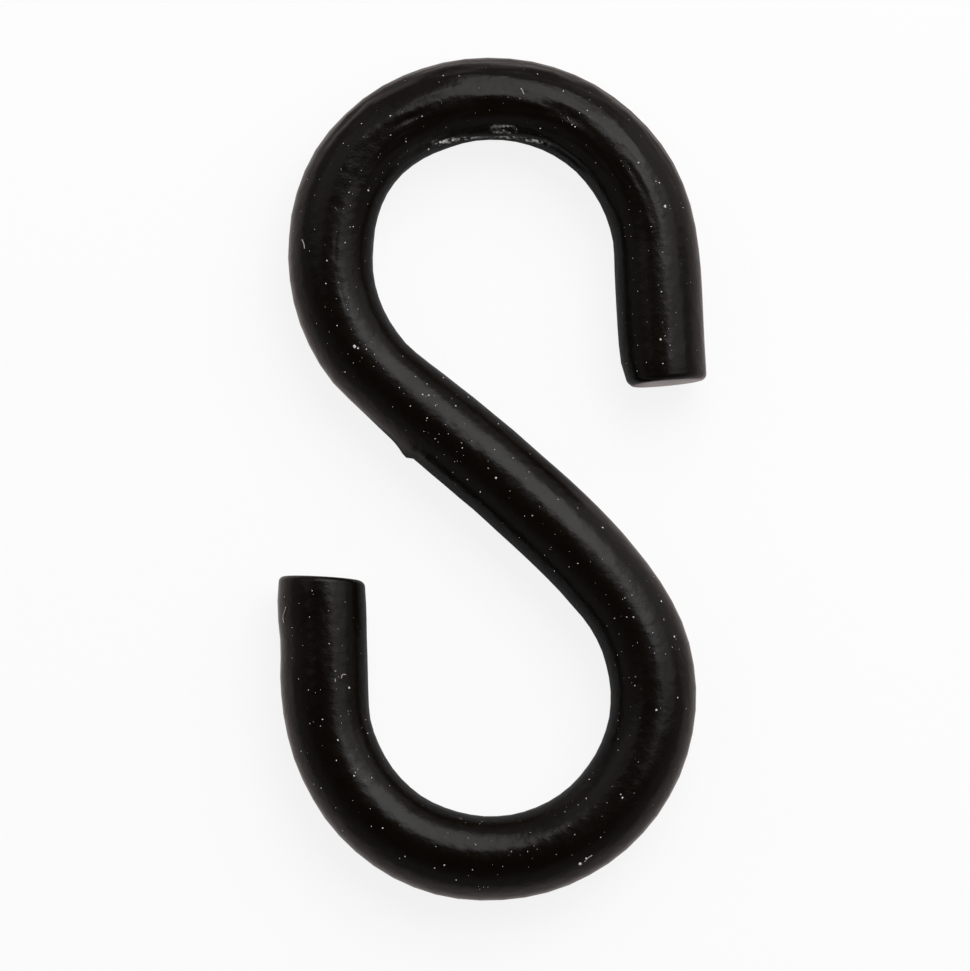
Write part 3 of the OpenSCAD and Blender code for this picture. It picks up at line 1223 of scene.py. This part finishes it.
def add_camera(setup):
    """The camera, above the hook and leaning a little towards its lower end."""
    target = Vector(CAMERA_TARGET)
    back = Vector((0.0, -math.cos(setup.camera_elevation), math.sin(setup.camera_elevation)))
    bpy.ops.object.camera_add(location=target + back * setup.camera_distance)
    camera = bpy.context.object
    camera.rotation_mode = "QUATERNION"
    camera.rotation_quaternion = (-back).to_track_quat("-Z", "Y")
    camera.data.sensor_width = SENSOR_WIDTH
    camera.data.lens = SENSOR_WIDTH * setup.camera_distance / setup.field
    camera.data.clip_start = NEAREST_SEEN
    camera.data.clip_end = FARTHEST_SEEN
    bpy.context.scene.camera = camera


class HOOK_OT_stage(bpy.types.Operator):
    """Lays the floor and sets up the lamps, the room and the camera"""

    bl_idname = "hook.stage"
    bl_label = "Set the stage"

    def execute(self, context):
        setup = context.scene.hook_stage
        deselect()
        bpy.ops.mesh.primitive_plane_add(size=FLOOR_SIZE, location=(0.0, 0.0, CAD_BOX[0].z))
        floor = bpy.context.object
        floor.name = "floor"
        floor.data.materials.append(floor_material(setup))
        room(setup)
        for name, way in LAMPS.items():
            size = getattr(setup, f"{name}_size")
            radiance = getattr(setup, f"{name}_radiance")
            add_lamp(name, way, setup.lamp_distance, size, radiance)
        add_camera(setup)
        context.scene.view_settings.view_transform = "Standard"
        return {"FINISHED"}


# ---------------------------------------------------------------- the add-on


class HOOK_PT_panel(bpy.types.Panel):
    """Lists the steps of the hook"""

    bl_idname = "HOOK_PT_panel"
    bl_label = "S Hook"
    bl_space_type = "VIEW_3D"
    bl_region_type = "UI"
    bl_category = "S Hook"

    def draw(self, context):
        for settings, steps in STEPS:
            box = self.layout.box()
            for name in settings:
                group = getattr(context.scene, name)
                for value in group.__annotations__:
                    box.prop(group, value)
            for step in steps:
                box.operator(step)


GROUPS = {
    "hook_route": HookRoute,
    "hook_shape": WireShape,
    "hook_coat": CoatFinish,
    "hook_dust": DustFinish,
    "hook_stage": StageSetup,
}
STEPS = (
    (("hook_route", "hook_shape", "hook_coat"), ("hook.wire",)),
    (("hook_dust",), ("hook.dust", "hook.lint")),
    (("hook_stage",), ("hook.stage",)),
)
CLASSES = (*GROUPS.values(), HOOK_OT_wire, HOOK_OT_dust, HOOK_OT_lint, HOOK_OT_stage, HOOK_PT_panel)


def register():
    for kind in CLASSES:
        bpy.utils.register_class(kind)
    for name, group in GROUPS.items():
        setattr(bpy.types.Scene, name, bpy.props.PointerProperty(type=group))


def unregister():
    for name in GROUPS:
        delattr(bpy.types.Scene, name)
    for kind in reversed(CLASSES):
        bpy.utils.unregister_class(kind)


def main():
    """Makes the hook and its stage."""
    register()
    bpy.ops.hook.wire()
    bpy.ops.hook.dust()
    bpy.ops.hook.lint()
    bpy.ops.hook.stage()


if __name__ == "__main__":
    main()
